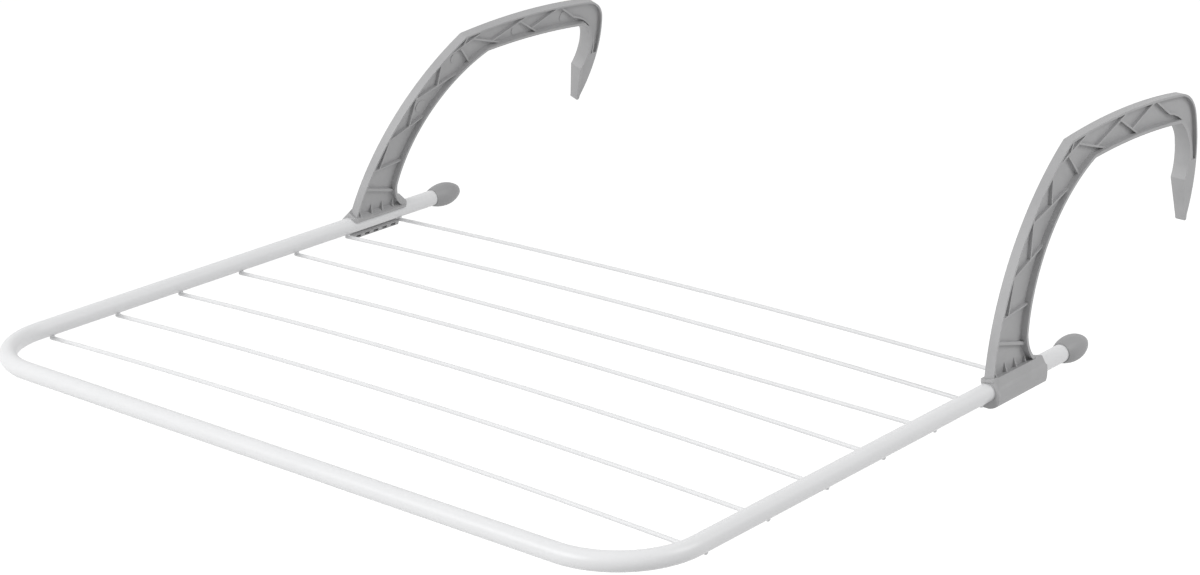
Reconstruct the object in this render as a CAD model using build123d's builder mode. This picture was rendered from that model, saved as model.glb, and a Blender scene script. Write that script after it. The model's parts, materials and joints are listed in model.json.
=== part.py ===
from build123d import *
import os
from math import atan2, cos, degrees, hypot, radians, sin, sqrt

os.makedirs("parts", exist_ok=True)

# Axes: +X right, +Y to the rear where the rack rests, +Z up. The origin lies midway between the
# rear ends of the two caps, level with the tube axis. All sizes in mm.

# Frame: one steel tube bent into a U, its two legs pointing to the rear
tube_d = 12.7
tube_wall = 1.0
leg_spacing = 588.0
bend_radius = 57.0

# Cross wires welded under the legs, bowed up by their crown at mid span: distance from the front bar
# to the first, from each to the next and from the last to the cap ends. The clips of the arms sit in
# the bay between the last two.
wire_d = 3.0
wire_overhang = 0.5
weld_gap = 0.2
front_bay = 67.1
wire_bays = [60.6, 60.6, 61.0, 58.3, 55.6, 59.0]
rear_bay = 70.1
wire_crowns = [5.4, 6.1, 6.6, 6.4, 2.2, 5.3, 4.5]

# Push-on cap at each leg end
cap_length = 30.3
cap_mouth_d = 14.4
cap_d = 18.8
cap_belly = 17.3
cap_nose_r = 5.0
cap_nose_flat_r = 1.0
cap_floor = 7.0
cap_fit = 0.2
cap_lip_chamfer = 0.3

# Hook arm. Outline points are (distance behind the clip middle, height above the tube axis).
left_lean = 19.6
right_lean = -2.0
web_t = 2.0
outer_flange_t = 1.6
outer_flange_w = 7.0
inner_flange_t = 2.2
inner_flange_w = 11.0
front_foot_y = -23.3
front_mid = (-0.3, 90.0)
knee = (56.5, 155.1)
knee_round = 4.0
top_mid = (138.7, 159.9)
hook_top = (207.5, 155.3)
shoulder_mid = (220.4, 149.1)
hook_back = (228.9, 137.7)
back_mid = (235.8, 94.7)
tip_back = (229.2, 60.9)
tip_end = (226.9, 57.0)
tip_front = (225.3, 59.6)
crease = (216.7, 90.5)
pad_mid = (220.3, 106.4)
hook_corner = (204.3, 135.1)
hook_corner_round = 6.0
under_mid = (141.3, 138.9)
elbow = (85.8, 137.2)
elbow_round = 8.0
throat_mid = (31.0, 89.7)
flare_top = (14.4, 31.0)
flare_mid = (19.0, 18.6)
flare_foot_y = 32.0

# Wide pad on the hook's inner face, (height, width) down to its crease and then at the tip
pad_t = 3.2
pad_widths = [(132.0, 9.5), (116.0, 12.0), (106.0, 12.2)]
crease_width = 11.2
tip_width = 8.4
tip_end_width = 6.4
tip_top = 102.0

# Ribs on both faces of the web, each from a flange to the next rib, and a thicker one at the base
rib_t = 1.4
base_rib_t = 2.2
rib_w = 6.6
ribs = [
    ((39.5, 140.1), (80.6, 157.2)),
    ((58.8, 154.4), (55.9, 147.0)),
    ((68.3, 129.9), (53.9, 145.0)),
    ((107.3, 138.5), (66.0, 151.2)),
    ((129.3, 158.8), (90.4, 143.8)),
    ((148.1, 139.1), (120.3, 155.5)),
    ((167.7, 158.4), (138.0, 145.7)),
    ((35.0, 137.0), (36.2, 115.7)),
    ((14.0, 107.8), (56.2, 122.0)),
    ((14.7, 114.1), (13.9, 81.4)),
    ((-6.8, 74.4), (28.9, 89.5)),
    ((-4.8, 75.6), (-9.1, 50.1)),
    ((-17.0, 48.9), (16.0, 52.6)),
]
base_rib = ((-20.7, 34.0), (15.1, 24.1))
bend_rib_start = (168.5, 158.4)
bend_rib_knee = (190.4, 144.6)
bend_rib_mid = (213.8, 133.0)
bend_rib_end = (230.0, 101.3)

# Round moulding marks on the inner face of the web
disc_r = 5.0
disc_h = 0.4
discs = [(119.4, 147.4), (178.4, 147.3), (51.8, 136.5), (23.5, 98.8)]

# Clip that snaps over the leg between the last two wires. The walls are what stands beyond the tube.
swivel_fit = 0.1
clip_front_play = 3.5
clip_rear_play = 0.5
shoulder_wall = 1.45
shoulder_z = 5.0
belly_wall = 3.75
belly_z = -2.0
heel_wall = 2.0
bottom_wall = 4.85
bottom_x = -2.2
lip_reach = 5.5
lip_wall = 3.95
lip_drop = 0.75
mouth_top_angle = 45.0
mouth_bottom_angle = -80.0

# Tail of the sleeve, measured behind the lip
sleeve_tail = 12.0
tail_lift = 1.85
skirt_gap = 5.1
tail_waist = (8.5, 4.5)
tail_back_z = -2.5
tail_heel = 7.0
tail_corner = 8.8
tail_corner_wall = 2.85

# Base plate on top of the clip, sloping down inward, and gussets from it to the web. The outer front
# corner is cut off through three points (inward, behind the plate's front edge, below its outer edge).
outer_rise = 4.45
inner_rise = 1.45
plate_t = 2.2
inner_edge_t = 2.0
plate_inset = 0.15
plate_outer = 6.0
plate_overhang = 1.0
plate_tail = 6.0
plate_corner = 2.5
gusset_t = 1.2
gusset_w = 9.0
gussets = [(-18.5, 7.5), (-6.5, 11.5), (5.5, 11.0), (17.5, 10.0)]
ear_cut = [(-3.5, 0.0, 0.6), (-9.0, 0.0, 10.8), (-6.0, 5.5, 0.0)]

# Row of square pockets in the end face of the clip's lower lip
pocket_count = 5
pocket_land = 3.6
pocket_w = 5.5
pocket_h = 2.4
pocket_depth = 3.0

tube_r = tube_d / 2
bore_r = tube_r + swivel_fit
leg_x = leg_spacing / 2
wire_ys = [-rear_bay - sum(wire_bays[bay:]) for bay in range(len(wire_bays) + 1)]
front_y = wire_ys[0] - front_bay
clip_bay = wire_bays[-1]
clip_y = wire_ys[-1] - clip_bay / 2
lip_start = -clip_bay / 2 + wire_d / 2 + clip_front_play
lip_end = clip_bay / 2 - wire_d / 2 - clip_rear_play
lip_length = lip_end - lip_start
pocket_pitch = (lip_length - 2 * pocket_land - pocket_w) / (pocket_count - 1)
tail_end = lip_end + sleeve_tail
tail_floor = tail_lift - tube_r
skirt_inner = -wire_overhang - skirt_gap
sleeve_shoulder = (-tube_r - shoulder_wall, shoulder_z)
sleeve_belly = (-tube_r - belly_wall, belly_z)
sleeve_heel = (-tube_r - heel_wall, -tube_r - heel_wall)
sleeve_bottom = (bottom_x, -tube_r - bottom_wall)
lip_toe = -tube_r - lip_wall
lip_face_top = -tube_r - lip_drop
plate_high = tube_r + outer_rise
plate_low = tube_r + inner_rise
plate_inner = tube_r - plate_inset
plate_start = lip_start - plate_overhang
plate_end = lip_end + plate_tail
front_foot = (front_foot_y, plate_low)
flare_foot = (flare_foot_y, plate_low)
pad_widths += [(crease[1], crease_width), (tip_front[1], tip_width), (tip_end[1], tip_end_width)]


def on_bore(angle):
    """Point of the clip bore at an angle above the inward direction."""
    return bore_r * cos(radians(angle)), bore_r * sin(radians(angle))


def outer_outline():
    """Arm's outer edge from its foot over the knee and the hook to the tip."""
    ThreePointArc(front_foot, front_mid, knee)
    ThreePointArc(knee, top_mid, hook_top)
    ThreePointArc(hook_top, shoulder_mid, hook_back)
    ThreePointArc(hook_back, back_mid, tip_back)


def inner_outline():
    """Arm's inner edge from the tip up the pad, under the top and down to the foot."""
    Line(tip_front, crease)
    ThreePointArc(crease, pad_mid, hook_corner)
    ThreePointArc(hook_corner, under_mid, elbow)
    ThreePointArc(elbow, throat_mid, flare_top)
    ThreePointArc(flare_top, flare_mid, flare_foot)


def rib_bar(start, end, thickness):
    """Straight rib between two points of the side view."""
    run = end[0] - start[0]
    rise = end[1] - start[1]
    with Locations((start[0] + run / 2, start[1] + rise / 2)):
        Rectangle(hypot(run, rise), thickness, rotation=degrees(atan2(rise, run)))


# Side view of the arm above its base plate
with BuildSketch() as side_view:
    with BuildLine():
        outer_outline()
        ThreePointArc(tip_back, tip_end, tip_front)
        inner_outline()
        Line(flare_foot, front_foot)
    make_face()
    fillet(side_view.vertices().sort_by_distance(knee)[0], knee_round)
    fillet(side_view.vertices().sort_by_distance(hook_corner)[0], hook_corner_round)
    fillet(side_view.vertices().sort_by_distance(elbow)[0], elbow_round)

with BuildSketch() as outer_flange:
    with BuildLine():
        outer_outline()
    trace(line_width=2 * outer_flange_t)
    add(side_view.sketch, mode=Mode.INTERSECT)

with BuildSketch() as inner_flange:
    with BuildLine():
        inner_outline()
    trace(line_width=2 * inner_flange_t)
    add(side_view.sketch, mode=Mode.INTERSECT)

with BuildSketch() as rib_net:
    for start, end in ribs:
        rib_bar(start, end, rib_t)
    rib_bar(base_rib[0], base_rib[1], base_rib_t)
    with BuildLine():
        Line(bend_rib_start, bend_rib_knee)
        ThreePointArc(bend_rib_knee, bend_rib_mid, bend_rib_end)
    trace(line_width=rib_t)
    add(side_view.sketch, mode=Mode.INTERSECT)

# Side view of the pad, and of the solid that fills the hook behind it near the tip
with BuildSketch() as pad_side:
    with BuildLine():
        Line(tip_front, crease)
        ThreePointArc(crease, pad_mid, hook_corner)
    trace(line_width=2 * pad_t)
    add(side_view.sketch, mode=Mode.INTERSECT)
    with Locations((hook_corner[0], 0)):
        Rectangle(leg_spacing, pad_widths[0][0], align=(Align.MIN, Align.MIN), mode=Mode.INTERSECT)
with BuildSketch() as tip_side:
    add(side_view.sketch)
    with Locations((hook_corner[0], 0)):
        Rectangle(leg_spacing, tip_top, align=(Align.MIN, Align.MIN), mode=Mode.INTERSECT)

# Seen from the front, the strips beside the pad that taper it
pad_reach = max(width for height, width in pad_widths) / 2
cheek_reach = 2 * pad_reach
with BuildSketch() as pad_cheeks:
    with BuildLine():
        Polyline([(width / 2, height) for height, width in pad_widths])
        Polyline(
            (pad_widths[-1][1] / 2, pad_widths[-1][0]),
            (cheek_reach, pad_widths[-1][0]),
            (cheek_reach, pad_widths[0][0]),
            (pad_widths[0][1] / 2, pad_widths[0][0]),
        )
    make_face()
    mirror(about=Plane.YZ)

# Clip across the leg: sleeve, lower lip and the root of the base plate round the bore
with BuildSketch() as clip_section:
    with BuildLine():
        Polyline((plate_inner, plate_low), (-plate_outer, plate_high), sleeve_shoulder)
        ThreePointArc(sleeve_shoulder, sleeve_belly, sleeve_heel)
        ThreePointArc(sleeve_heel, sleeve_bottom, (lip_reach, lip_toe))
        Polyline(
            (lip_reach, lip_toe),
            (lip_reach, lip_face_top),
            on_bore(mouth_bottom_angle),
            (0, 0),
            on_bore(mouth_top_angle),
            (plate_inner, plate_low - inner_edge_t),
            (plate_inner, plate_low),
        )
    make_face()
    Circle(bore_r, mode=Mode.SUBTRACT)
with BuildSketch() as plate_section:
    with BuildLine():
        Polyline(
            (plate_inner, plate_low),
            (-plate_outer, plate_high),
            (-plate_outer, plate_high - plate_t),
            (plate_inner, plate_low - plate_t),
            close=True,
        )
    make_face()

# Tail of the sleeve: open below the leg behind the lip, with a skirt outside the end of the last wire
with BuildSketch() as tail_section:
    add(clip_section.sketch)
    with Locations((skirt_inner, tail_floor)):
        Rectangle(leg_spacing, leg_spacing, align=(Align.MIN, Align.MAX), mode=Mode.SUBTRACT)
with BuildSketch() as tail_side:
    with BuildLine():
        waist = (lip_end + tail_waist[0], tail_waist[1])
        heel = (lip_end + tail_heel, sleeve_bottom[1])
        Polyline(heel, (lip_end, sleeve_bottom[1]), (lip_end, plate_high), (plate_end, plate_high), waist)
        ThreePointArc(waist, (tail_end, tail_back_z), heel)
    make_face()

# Clip seen from above, the sleeve rounded at its rear
with BuildSketch() as clip_plan:
    with BuildLine():
        Polyline(
            (2 * sleeve_belly[0], lip_end),
            (2 * sleeve_belly[0], plate_start),
            (plate_inner - plate_corner, plate_start),
            (plate_inner, plate_start + plate_corner),
            (plate_inner, plate_end - plate_corner),
            (plate_inner - plate_corner, plate_end),
            (-tube_r, tail_end),
        )
        ThreePointArc(
            (-tube_r, tail_end),
            (-tube_r - tail_corner_wall, lip_end + tail_corner),
            (2 * sleeve_belly[0], lip_end),
        )
    make_face()


def frame_tube_part():
    """Hollow tube from one leg end round the front bar to the other."""
    with BuildPart() as tube:
        with BuildLine() as axis_line:
            FilletPolyline(
                (-leg_x, -cap_floor),
                (-leg_x, front_y),
                (leg_x, front_y),
                (leg_x, -cap_floor),
                radius=bend_radius,
            )
        with BuildSketch(Plane(origin=axis_line.line @ 0, z_dir=axis_line.line % 0)):
            Circle(tube_r)
            Circle(tube_r - tube_wall, mode=Mode.SUBTRACT)
        sweep()
    return tube.part


def wire_part(y, crown):
    """Round wire lying under both legs and rising by its crown at mid span."""
    reach = leg_x + wire_overhang
    arc_r = (leg_x**2 + crown**2) / (2 * crown)
    end_z = crown - arc_r + sqrt(arc_r**2 - reach**2)
    level = -(tube_r + weld_gap + wire_d / 2)
    row_plane = Plane(origin=(0, y, level), x_dir=(1, 0, 0), z_dir=(0, -1, 0))
    with BuildPart() as wire:
        with BuildLine(row_plane) as bow:
            ThreePointArc((-reach, end_z), (0, crown), (reach, end_z))
        with BuildSketch(Plane(origin=bow.line @ 0, z_dir=bow.line % 0)):
            Circle(wire_d / 2)
        sweep()
    return wire.part


def end_cap_part(x):
    """Egg-shaped cap pushed over a leg end, its rear at y = 0."""
    socket_r = tube_r + cap_fit
    belly_r = cap_d / 2
    mouth_r = cap_mouth_d / 2
    turn = 2 * atan2(belly_r - cap_nose_r - cap_nose_flat_r, cap_belly - cap_nose_r)

    def on_nose(angle):
        """Point of the rounded nose at an angle above the radial direction."""
        return cap_nose_flat_r + cap_nose_r * cos(angle), cap_nose_r * (sin(angle) - 1)

    with BuildPart() as cap:
        with BuildSketch(Plane(origin=(x, 0, 0))):
            with BuildLine():
                flank = TangentArc(
                    (belly_r, -cap_belly), (mouth_r, cap_lip_chamfer - cap_length), tangent=(0, -1)
                )
                TangentArc((belly_r, -cap_belly), on_nose(turn), tangent=(0, 1))
                nose = ThreePointArc(on_nose(turn), on_nose(turn / 2 + radians(45)), on_nose(radians(90)))
                Polyline(
                    flank @ 1,
                    (mouth_r - cap_lip_chamfer, -cap_length),
                    (socket_r, -cap_length),
                    (socket_r, -cap_floor),
                    (0, -cap_floor),
                    (0, 0),
                    nose @ 1,
                )
            make_face()
        revolve(axis=Axis((x, 0, 0), (0, 1, 0)))
    return cap.part


def hook_arm_part(lean):
    """Ribbed hook with its snap clip on the left leg, leaning inward by lean degrees."""
    tilt = radians(lean)
    along = Vector(0, 1, 0)
    up = Vector(sin(tilt), 0, cos(tilt))
    across = Vector(cos(tilt), 0, -sin(tilt))
    clip_middle = Vector(-leg_x, clip_y, 0)
    web_plane = Plane(origin=clip_middle, x_dir=along, z_dir=across)
    plan_plane = Plane(origin=clip_middle + up * plate_high, x_dir=across, z_dir=up)
    def place(inward, back, height):
        """Point of the clip, measured inward, behind its middle and up from the leg axis."""
        return clip_middle + across * inward + along * back + up * height

    lip_middle = place(lip_reach, (lip_start + lip_end) / 2, (lip_face_top + lip_toe) / 2)
    lip_plane = Plane(origin=lip_middle, x_dir=along, z_dir=across)
    ear_points = [place(inward, plate_start + back, plate_high - drop) for inward, back, drop in ear_cut]
    ear_normal = (ear_points[1] - ear_points[0]).cross(ear_points[2] - ear_points[0])

    def section_plane(distance):
        """Plane across the leg at a distance behind the clip middle."""
        return Plane(origin=clip_middle + along * distance, x_dir=across, z_dir=-along)

    with BuildPart() as clip:
        with BuildSketch(section_plane(lip_end)):
            add(tail_section.sketch)
        extrude(amount=-sleeve_tail)
        with BuildSketch(web_plane):
            add(tail_side.sketch)
        extrude(amount=2 * sleeve_belly[0], both=True, mode=Mode.INTERSECT)
        with BuildSketch(section_plane(lip_start)):
            add(clip_section.sketch)
        extrude(amount=-lip_length)
        with BuildSketch(section_plane(plate_start)):
            add(plate_section.sketch)
        extrude(amount=plate_start - plate_end)
        with BuildSketch(plan_plane):
            add(clip_plan.sketch)
        extrude(amount=sleeve_bottom[1] - plate_high, mode=Mode.INTERSECT)
        split(bisect_by=Plane(origin=ear_points[0], z_dir=ear_normal), keep=Keep.TOP)
        with BuildSketch(lip_plane):
            with GridLocations(pocket_pitch, 0, pocket_count, 1):
                Rectangle(pocket_w, pocket_h)
        extrude(amount=-pocket_depth, mode=Mode.SUBTRACT)

    with BuildPart() as arm:
        with BuildSketch(web_plane):
            add(pad_side.sketch)
        extrude(amount=pad_reach, both=True)
        with BuildSketch(section_plane(hook_corner[0])):
            add(pad_cheeks.sketch)
        extrude(amount=-hook_corner[0], mode=Mode.SUBTRACT)
        with BuildSketch(web_plane):
            add(tip_side.sketch)
        extrude(amount=outer_flange_w / 2, both=True)
        with BuildSketch(web_plane):
            add(side_view.sketch)
        extrude(amount=web_t / 2, both=True)
        with BuildSketch(web_plane):
            add(outer_flange.sketch)
        extrude(amount=outer_flange_w / 2, both=True)
        with BuildSketch(web_plane):
            add(inner_flange.sketch)
        extrude(amount=inner_flange_w / 2, both=True)
        with BuildSketch(web_plane):
            add(rib_net.sketch)
        extrude(amount=rib_w / 2, both=True)
        with BuildSketch(web_plane.offset(web_t / 2)):
            with Locations(discs):
                Circle(disc_r)
            add(side_view.sketch, mode=Mode.INTERSECT)
        extrude(amount=disc_h)
        for distance, height in gussets:
            with BuildSketch(section_plane(distance)):
                with Locations((0, plate_low)):
                    Triangle(a=gusset_w, b=hypot(gusset_w / 2, height), c=hypot(gusset_w / 2, height),
                             align=(Align.CENTER, Align.MIN))
            extrude(amount=gusset_t / 2, both=True)
        add(clip.part)
    return arm.part


frame_tube = frame_tube_part()
frame_tube.label = "frame_tube"
export_step(frame_tube, "parts/frame_tube.step")

for number, (y, crown) in enumerate(zip(wire_ys, wire_crowns), start=1):
    wire = wire_part(y, crown)
    wire.label = f"wire_{number}"
    export_step(wire, f"parts/wire_{number}.step")

for name, x in (("left_end_cap", -leg_x), ("right_end_cap", leg_x)):
    end_cap = end_cap_part(x)
    end_cap.label = name
    export_step(end_cap, f"parts/{name}.step")

left_hook_arm = hook_arm_part(left_lean)
left_hook_arm.label = "left_hook_arm"
export_step(left_hook_arm, "parts/left_hook_arm.step")

right_hook_arm = mirror(hook_arm_part(right_lean), about=Plane.YZ)
right_hook_arm.label = "right_hook_arm"
export_step(right_hook_arm, "parts/right_hook_arm.step")
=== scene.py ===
import json
import math

import bmesh
import bpy
from mathutils import Matrix, Vector


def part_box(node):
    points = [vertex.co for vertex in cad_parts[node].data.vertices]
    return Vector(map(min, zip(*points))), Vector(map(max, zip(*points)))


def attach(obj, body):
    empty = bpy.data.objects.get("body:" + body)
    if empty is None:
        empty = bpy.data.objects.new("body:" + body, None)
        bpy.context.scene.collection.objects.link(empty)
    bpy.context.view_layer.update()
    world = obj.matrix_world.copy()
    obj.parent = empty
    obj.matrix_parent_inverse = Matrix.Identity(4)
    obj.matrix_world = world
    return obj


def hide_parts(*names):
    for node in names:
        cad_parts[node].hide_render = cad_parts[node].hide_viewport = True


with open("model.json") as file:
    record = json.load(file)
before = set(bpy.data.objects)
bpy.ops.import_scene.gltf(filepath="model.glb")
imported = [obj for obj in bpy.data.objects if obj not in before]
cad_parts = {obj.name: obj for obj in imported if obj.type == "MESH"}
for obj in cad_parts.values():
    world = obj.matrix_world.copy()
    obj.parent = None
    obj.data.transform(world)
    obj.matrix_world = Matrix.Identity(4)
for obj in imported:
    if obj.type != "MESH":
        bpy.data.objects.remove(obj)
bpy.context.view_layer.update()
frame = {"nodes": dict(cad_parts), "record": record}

# Photograph's camera: width of its image and focal length in pixels, place in metres, angles in degrees
IMAGE_W = 1200
SENSOR_W_MM = 36.0
FOCAL_PX = 2719.3
CAMERA_AT = (1.1728, -1.5653, 0.6491)
CAMERA_AZIMUTH = 40.02
CAMERA_PITCH = 18.96
CAMERA_ROLL = -0.62
CAMERA_REACH = 60.0

# Steel frame
BEND_RADIUS = 0.057
TUBE_SIDES = 64
BEND_STEPS = 28
WIRE_SIDES = 24
WIRE_STEPS = 60
WIRE_END_ROUND = 0.0011
WIRE_END_STEPS = 4
WIRE_END_ANGLE = math.radians(60)

# Weld bead between a wire and a leg: half length along the wire, half width across it, half height
WELD_BEAD = (0.0021, 0.0018, 0.0008)
WELD_INSET = 0.0015
BEAD_SEGMENTS = 20
BEAD_RINGS = 10

# Moulded arms: edge rounds, and how the solid's triangles are joined to plain faces first
ARM_EDGE_ROUND = 0.0003
ARM_ROUND_STEPS = 2
ARM_SHARP_ANGLE = math.radians(28)
ARM_FLAT_ANGLE = math.radians(0.5)
ARM_MERGE_DISTANCE = 2e-6
FLAT_FACE_WEIGHT = 60

# Hook tip: drop below the hook's saddle and half width there, and where its back edge ends
CREASE_DROP = 0.0483
CREASE_HALF_WIDTH = 0.0056
TIP_DROP = 0.0792
TIP_HALF_WIDTH = 0.00355
TIP_BACK_DROP = 0.0779
TIP_BACK_Y = 0.1296

# Finishes: noise scales, bump depths in metres, darkest and lightest shade, lowest and highest roughness
PEEL_SCALE = 620.0
PEEL_DEPTH = 0.00004
CLOUD_SCALE = 24.0
COAT_SHADES = ((0.79, 0.794, 0.803), (0.82, 0.823, 0.83))
COAT_ROUGHNESS = (0.3, 0.38)
GRAIN_SCALE = 1900.0
GRAIN_DEPTH = 0.00003
FLOW_SCALE = 55.0
FLOW_DEPTH = 0.0002
ARM_SHADES = ((0.395, 0.395, 0.4), (0.445, 0.445, 0.45))
ARM_ROUGHNESS = (0.42, 0.52)
CAP_SHADES = ((0.32, 0.32, 0.325), (0.365, 0.365, 0.37))
CAP_ROUGHNESS = (0.45, 0.55)

# Studio
FLOOR_Z = -0.62
FLOOR_SIZE = 30.0
FLOOR_GREY = 0.62
FLOOR_GLOW = 0.66
SURROUND_LIGHT = 0.55
KEY_AT = (-0.7, -2.8, 1.4)
KEY_TOWARDS = (0.0, -0.25, 0.0)
KEY_SIZE = (2.2, 1.6)
KEY_WATTS = 47
SIDE_AT = (2.3, 0.9, 1.9)
SIDE_TOWARDS = (0.1, -0.2, 0.05)
SIDE_SIZE = (1.4, 1.4)
SIDE_WATTS = 26


def node_tree_material(name):
    """New material with its node tree and its principled shader."""
    material = bpy.data.materials.new(name)
    material.use_nodes = True
    return material, material.node_tree, material.node_tree.nodes["Principled BSDF"]


def add_noise(tree, coordinates, scale, detail=3.0, roughness=0.5):
    noise = tree.nodes.new("ShaderNodeTexNoise")
    noise.inputs["Scale"].default_value = scale
    noise.inputs["Detail"].default_value = detail
    noise.inputs["Roughness"].default_value = roughness
    tree.links.new(coordinates.outputs["Object"], noise.inputs["Vector"])
    return noise


def add_range(tree, source, low, high):
    """Maps a noise factor's middle half onto low to high."""
    node = tree.nodes.new("ShaderNodeMapRange")
    node.inputs["From Min"].default_value = 0.25
    node.inputs["From Max"].default_value = 0.75
    node.inputs["To Min"].default_value = low
    node.inputs["To Max"].default_value = high
    tree.links.new(source, node.inputs["Value"])
    return node.outputs["Result"]


def add_tint(tree, factor, dark, light):
    """Colour between two close shades, chosen by a factor."""
    mix = tree.nodes.new("ShaderNodeMix")
    mix.data_type = "RGBA"
    mix.inputs["A"].default_value = (*dark, 1.0)
    mix.inputs["B"].default_value = (*light, 1.0)
    tree.links.new(factor, mix.inputs["Factor"])
    return mix.outputs["Result"]


def add_bump(tree, height, distance, strength, below=None):
    bump = tree.nodes.new("ShaderNodeBump")
    bump.inputs["Distance"].default_value = distance
    bump.inputs["Strength"].default_value = strength
    tree.links.new(height, bump.inputs["Height"])
    if below:
        tree.links.new(below, bump.inputs["Normal"])
    return bump.outputs["Normal"]


def white_powder_coat():
    """Baked white powder coat: faint orange peel, slight gloss change and a trace of shade variation."""
    material, tree, shader = node_tree_material("white_powder_coat")
    place = tree.nodes.new("ShaderNodeTexCoord")
    peel = add_noise(tree, place, PEEL_SCALE, detail=2.0)
    cloud = add_noise(tree, place, CLOUD_SCALE)
    color = add_tint(tree, cloud.outputs["Fac"], *COAT_SHADES)
    tree.links.new(color, shader.inputs["Base Color"])
    tree.links.new(add_range(tree, cloud.outputs["Fac"], *COAT_ROUGHNESS), shader.inputs["Roughness"])
    tree.links.new(add_bump(tree, peel.outputs["Fac"], PEEL_DEPTH, strength=0.5), shader.inputs["Normal"])
    return material


def moulded_plastic(name, shades, roughness):
    """Moulded plastic: spark-eroded grain, faint flow clouds and a satin surface."""
    material, tree, shader = node_tree_material(name)
    place = tree.nodes.new("ShaderNodeTexCoord")
    grain = add_noise(tree, place, GRAIN_SCALE, detail=2.0, roughness=0.6)
    flow = add_noise(tree, place, FLOW_SCALE, detail=4.0, roughness=0.6)
    color = add_tint(tree, add_range(tree, flow.outputs["Fac"], 0.0, 1.0), *shades)
    tree.links.new(color, shader.inputs["Base Color"])
    tree.links.new(add_range(tree, flow.outputs["Fac"], *roughness), shader.inputs["Roughness"])
    ripple = add_bump(tree, flow.outputs["Fac"], FLOW_DEPTH, strength=0.25)
    surface = add_bump(tree, grain.outputs["Fac"], GRAIN_DEPTH, strength=0.6, below=ripple)
    tree.links.new(surface, shader.inputs["Normal"])
    return material


def add_view_level(tree, unseen, seen):
    """One strength for rays that show the surface or surround as a background, another for the rest."""
    rays = tree.nodes.new("ShaderNodeLightPath")
    total = rays.outputs["Is Camera Ray"]
    for kind in ("Is Glossy Ray", "Is Transmission Ray"):
        either = tree.nodes.new("ShaderNodeMath")
        either.operation = "MAXIMUM"
        tree.links.new(total, either.inputs[0])
        tree.links.new(rays.outputs[kind], either.inputs[1])
        total = either.outputs["Value"]
    level = tree.nodes.new("ShaderNodeMapRange")
    level.inputs["To Min"].default_value = unseen
    level.inputs["To Max"].default_value = seen
    tree.links.new(total, level.inputs["Value"])
    return level.outputs["Result"]


def studio_floor():
    """White floor for the camera that still takes the object's shadow."""
    material, tree, shader = node_tree_material("studio_floor")
    shader.inputs["Base Color"].default_value = (FLOOR_GREY, FLOOR_GREY, FLOOR_GREY, 1.0)
    shader.inputs["Roughness"].default_value = 0.9
    shader.inputs["Specular IOR Level"].default_value = 0.0
    glow = tree.nodes.new("ShaderNodeEmission")
    tree.links.new(add_view_level(tree, 0.0, FLOOR_GLOW), glow.inputs["Strength"])
    both = tree.nodes.new("ShaderNodeAddShader")
    tree.links.new(shader.outputs["BSDF"], both.inputs[0])
    tree.links.new(glow.outputs["Emission"], both.inputs[1])
    tree.links.new(both.outputs["Shader"], tree.nodes["Material Output"].inputs["Surface"])
    return material


def new_object(name, mesh):
    piece = bpy.data.objects.new(name, mesh)
    bpy.context.scene.collection.objects.link(piece)
    return piece


def grow(piece, tree, values):
    """Runs a node tree on a piece and keeps the result as its plain mesh."""
    modifier = piece.modifiers.new(tree.name, "NODES")
    modifier.node_group = tree
    for item in tree.interface.items_tree:
        if item.in_out == "INPUT" and item.name in values:
            modifier[item.identifier] = values[item.name]
    evaluated = piece.evaluated_get(bpy.context.evaluated_depsgraph_get())
    mesh = bpy.data.meshes.new_from_object(evaluated)
    piece.modifiers.remove(modifier)
    piece.data = mesh
    return piece


class Tree:
    """Geometry node tree with named inputs and one geometry output."""

    def __init__(self, name, inputs):
        self.group = bpy.data.node_groups.new(name, "GeometryNodeTree")
        sockets = self.group.interface
        sockets.new_socket("Geometry", in_out="INPUT", socket_type="NodeSocketGeometry")
        for label, kind in inputs:
            sockets.new_socket(label, in_out="INPUT", socket_type=kind)
        sockets.new_socket("Geometry", in_out="OUTPUT", socket_type="NodeSocketGeometry")
        self.inputs = self.group.nodes.new("NodeGroupInput").outputs
        self.output = self.group.nodes.new("NodeGroupOutput").inputs["Geometry"]

    def add(self, kind, links=None, **settings):
        """New node, with each named input linked to a socket or set to a value."""
        node = self.group.nodes.new(kind)
        for key, value in settings.items():
            setattr(node, key, value)
        for socket, source in (links or {}).items():
            if isinstance(source, bpy.types.NodeSocket):
                self.group.links.new(source, node.inputs[socket])
            else:
                node.inputs[socket].default_value = source
        return node

    def finish(self, geometry):
        """Smooth, realized and with the material that the tree is given."""
        real = self.add("GeometryNodeRealizeInstances", {"Geometry": geometry})
        smooth = self.add("GeometryNodeSetShadeSmooth", {"Geometry": real.outputs["Geometry"]})
        coat = self.add(
            "GeometryNodeSetMaterial",
            {"Geometry": smooth.outputs["Geometry"], "Material": self.inputs["Material"]},
        )
        self.group.links.new(coat.outputs["Geometry"], self.output)
        return self.group


def bent_tube_tree():
    """Round tube along a path of corners, each bent to one radius."""
    tree = Tree("bent_tube", [
        ("Bend Radius", "NodeSocketFloat"), ("Bend Steps", "NodeSocketInt"),
        ("Tube Radius", "NodeSocketFloat"), ("Sides", "NodeSocketInt"), ("Material", "NodeSocketMaterial"),
    ])
    path = tree.add("GeometryNodeMeshToCurve", {"Mesh": tree.inputs["Geometry"]})
    bent = tree.add(
        "GeometryNodeFilletCurve",
        {"Curve": path.outputs["Curve"], "Count": tree.inputs["Bend Steps"],
         "Radius": tree.inputs["Bend Radius"]},
        mode="POLY",
    )
    ring = tree.add(
        "GeometryNodeCurvePrimitiveCircle",
        {"Resolution": tree.inputs["Sides"], "Radius": tree.inputs["Tube Radius"]},
    )
    tube = tree.add(
        "GeometryNodeCurveToMesh",
        {"Curve": bent.outputs["Curve"], "Profile Curve": ring.outputs["Curve"], "Fill Caps": True},
    )
    return tree.finish(tube.outputs["Mesh"])


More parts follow.
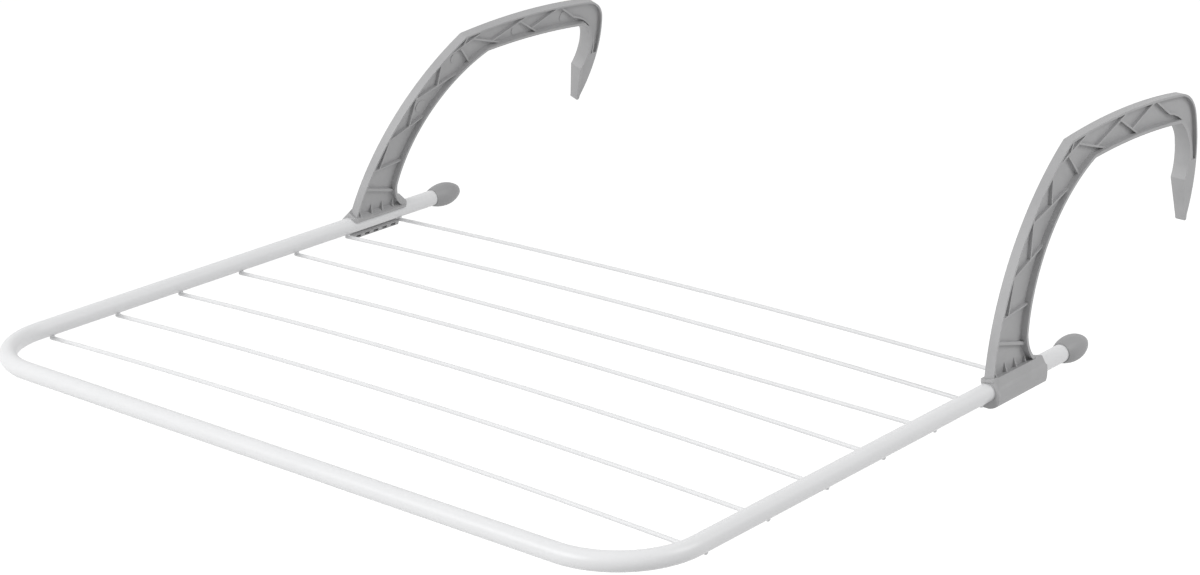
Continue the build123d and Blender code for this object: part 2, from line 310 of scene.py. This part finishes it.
def bowed_wire_tree():
    """Round wire along an arc through three points."""
    tree = Tree("bowed_wire", [
        ("Start", "NodeSocketVector"), ("Middle", "NodeSocketVector"), ("End", "NodeSocketVector"),
        ("Steps", "NodeSocketInt"), ("Wire Radius", "NodeSocketFloat"), ("Sides", "NodeSocketInt"),
        ("Material", "NodeSocketMaterial"),
    ])
    arc = tree.add(
        "GeometryNodeCurveArc",
        {"Resolution": tree.inputs["Steps"], "Start": tree.inputs["Start"], "Middle": tree.inputs["Middle"],
         "End": tree.inputs["End"]},
        mode="POINTS",
    )
    ring = tree.add(
        "GeometryNodeCurvePrimitiveCircle",
        {"Resolution": tree.inputs["Sides"], "Radius": tree.inputs["Wire Radius"]},
    )
    wire = tree.add(
        "GeometryNodeCurveToMesh",
        {"Curve": arc.outputs["Curve"], "Profile Curve": ring.outputs["Curve"], "Fill Caps": True},
    )
    return tree.finish(wire.outputs["Mesh"])


def weld_bead_tree():
    """Flat rounded bead at each given point."""
    tree = Tree("weld_beads", [("Bead Size", "NodeSocketVector"), ("Material", "NodeSocketMaterial")])
    bead = tree.add(
        "GeometryNodeMeshUVSphere", {"Segments": BEAD_SEGMENTS, "Rings": BEAD_RINGS, "Radius": 1.0}
    )
    beads = tree.add(
        "GeometryNodeInstanceOnPoints",
        {"Points": tree.inputs["Geometry"], "Instance": bead.outputs["Mesh"],
         "Scale": tree.inputs["Bead Size"]},
    )
    return tree.finish(beads.outputs["Instances"])


def box_of(node):
    low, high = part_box(node)
    return Vector(low), Vector(high)


def add_frame_tube(coat, tree):
    """U-shaped tube along the axis of its solid; returns both leg axes and the legs' underside."""
    low, high = box_of("frame_tube")
    radius = (high.z - low.z) / 2
    left, right = low.x + radius, high.x - radius
    front, level = low.y + radius, (low.z + high.z) / 2
    mesh = bpy.data.meshes.new("frame_tube_coated")
    corners = [(left, high.y, level), (left, front, level), (right, front, level), (right, high.y, level)]
    mesh.from_pydata(corners, [(0, 1), (1, 2), (2, 3)], [])
    piece = grow(new_object("frame_tube_coated", mesh), tree, {
        "Bend Radius": BEND_RADIUS, "Bend Steps": BEND_STEPS, "Tube Radius": radius, "Sides": TUBE_SIDES,
        "Material": coat,
    })
    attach(piece, "frame")
    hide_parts("frame_tube")
    return left, right, level - radius


def add_wire(node, coat, tree):
    """Bowed wire with rounded ends; returns its place along Y."""
    low, high = box_of(node)
    radius = (high.y - low.y) / 2
    row = (low.y + high.y) / 2
    mesh = bpy.data.meshes.new(f"{node}_coated")
    piece = grow(new_object(f"{node}_coated", mesh), tree, {
        "Start": (low.x, row, low.z + radius), "Middle": (0.0, row, high.z - radius),
        "End": (high.x, row, low.z + radius), "Steps": WIRE_STEPS, "Wire Radius": radius,
        "Sides": WIRE_SIDES, "Material": coat,
    })
    rounding = piece.modifiers.new("end_round", "BEVEL")
    rounding.width = WIRE_END_ROUND
    rounding.segments = WIRE_END_STEPS
    rounding.limit_method = "ANGLE"
    rounding.angle_limit = WIRE_END_ANGLE
    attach(piece, "frame")
    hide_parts(node)
    return row


def add_weld_beads(points, coat, tree):
    mesh = bpy.data.meshes.new("weld_beads")
    mesh.from_pydata(points, [], [])
    piece = grow(new_object("weld_beads", mesh), tree, {"Bead Size": WELD_BEAD, "Material": coat})
    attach(piece, "frame")


def narrow_tip(work, side):
    """Tapers the hook below its crease on both sides and flattens the back of its end."""
    saddle = next(mount for mount in frame["record"]["mounts"] if mount["name"] == f"{side}_hook")
    middle = Vector(saddle["pos_m"])
    down = Vector(saddle["axis"])
    across = down.cross(Vector((0.0, 1.0, 0.0)))
    taper = (TIP_HALF_WIDTH - CREASE_HALF_WIDTH) / (TIP_DROP - CREASE_DROP)
    for vert in work.verts:
        reach = vert.co - middle
        drop = reach.dot(down)
        if reach.y < 0 or drop < CREASE_DROP:
            continue
        half_width = CREASE_HALF_WIDTH + taper * (drop - CREASE_DROP)
        offset = reach.dot(across)
        vert.co += across * (max(-half_width, min(half_width, offset)) - offset)
        if drop > TIP_BACK_DROP:
            vert.co.y = min(vert.co.y, TIP_BACK_Y)


def add_moulded_arm(side, plastic):
    """Hook arm with the small edge rounds of a moulding and a tapered tip."""
    node = f"{side}_hook_arm"
    mesh = frame["nodes"][node].data.copy()
    mesh.name = f"{node}_moulded"
    work = bmesh.new()
    work.from_mesh(mesh)
    bmesh.ops.remove_doubles(work, verts=work.verts, dist=ARM_MERGE_DISTANCE)
    narrow_tip(work, side)
    bmesh.ops.dissolve_limit(
        work, angle_limit=ARM_FLAT_ANGLE, verts=work.verts, edges=work.edges, use_dissolve_boundaries=False
    )
    work.to_mesh(mesh)
    work.free()
    mesh.materials.clear()
    mesh.materials.append(plastic)
    mesh.shade_smooth()
    piece = new_object(f"{node}_moulded", mesh)
    rounding = piece.modifiers.new("edge_round", "BEVEL")
    rounding.width = ARM_EDGE_ROUND
    rounding.segments = ARM_ROUND_STEPS
    rounding.limit_method = "ANGLE"
    rounding.angle_limit = ARM_SHARP_ANGLE
    rounding.use_clamp_overlap = True
    shading = piece.modifiers.new("flat_faces", "WEIGHTED_NORMAL")
    shading.mode = "FACE_AREA"
    shading.weight = FLAT_FACE_WEIGHT
    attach(piece, f"{side}_arm")
    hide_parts(node)


def add_camera():
    """Camera at the photograph's place, angles and focal length."""
    az, pitch, roll = (math.radians(angle) for angle in (CAMERA_AZIMUTH, CAMERA_PITCH, CAMERA_ROLL))
    forward = Vector((-math.sin(az) * math.cos(pitch), math.cos(az) * math.cos(pitch), -math.sin(pitch)))
    level = Vector((math.cos(az), math.sin(az), 0.0))
    up = level.cross(forward)
    right = level * math.cos(roll) + up * math.sin(roll)
    up = up * math.cos(roll) - level * math.sin(roll)
    data = bpy.data.cameras.new("photo_camera")
    data.sensor_fit = "HORIZONTAL"
    data.sensor_width = SENSOR_W_MM
    data.lens = FOCAL_PX / IMAGE_W * SENSOR_W_MM
    data.clip_end = CAMERA_REACH
    camera = new_object("photo_camera", data)
    turn = Matrix((right, up, -forward)).transposed().to_4x4()
    camera.matrix_world = Matrix.Translation(CAMERA_AT) @ turn
    bpy.context.scene.camera = camera


def add_softbox(name, at, towards, size, energy):
    data = bpy.data.lights.new(name, "AREA")
    data.shape = "RECTANGLE"
    data.size, data.size_y = size
    data.energy = energy
    lamp = new_object(name, data)
    lamp.location = at
    lamp.rotation_euler = (Vector(towards) - Vector(at)).to_track_quat("-Z", "Y").to_euler()


def add_studio():
    """Soft white surround, softboxes at the front left and the rear right, and a pale floor below."""
    world = bpy.data.worlds.new("studio")
    bpy.context.scene.world = world
    world.use_nodes = True
    tree = world.node_tree
    surround = tree.nodes["Background"]
    surround.inputs["Color"].default_value = (1.0, 1.0, 1.0, 1.0)
    tree.links.new(add_view_level(tree, SURROUND_LIGHT, 1.0), surround.inputs["Strength"])
    add_softbox("key_softbox", KEY_AT, KEY_TOWARDS, KEY_SIZE, KEY_WATTS)
    add_softbox("side_softbox", SIDE_AT, SIDE_TOWARDS, SIDE_SIZE, SIDE_WATTS)
    floor = bpy.data.meshes.new("studio_floor")
    half = FLOOR_SIZE / 2
    corners = [(-half, -half), (half, -half), (half, half), (-half, half)]
    floor.from_pydata([(x, y, FLOOR_Z) for x, y in corners], [], [(0, 1, 2, 3)])
    floor.materials.append(studio_floor())
    new_object("studio_floor", floor)


coat = white_powder_coat()
arm_plastic = moulded_plastic("grey_arm_plastic", ARM_SHADES, ARM_ROUGHNESS)
cap_plastic = moulded_plastic("grey_cap_plastic", CAP_SHADES, CAP_ROUGHNESS)

left_x, right_x, seat_z = add_frame_tube(coat, bent_tube_tree())
wire_tree = bowed_wire_tree()
rows = [add_wire(f"wire_{number}", coat, wire_tree) for number in range(1, 8)]
weld_xs = (left_x + WELD_INSET, right_x - WELD_INSET)
add_weld_beads([(x, row, seat_z) for x in weld_xs for row in rows], coat, weld_bead_tree())
for side in ("left", "right"):
    add_moulded_arm(side, arm_plastic)
    cap_slots = frame["nodes"][f"{side}_end_cap"].data.materials
    cap_slots.clear()
    cap_slots.append(cap_plastic)

add_studio()
add_camera()
bpy.context.scene.view_settings.view_transform = "Standard"
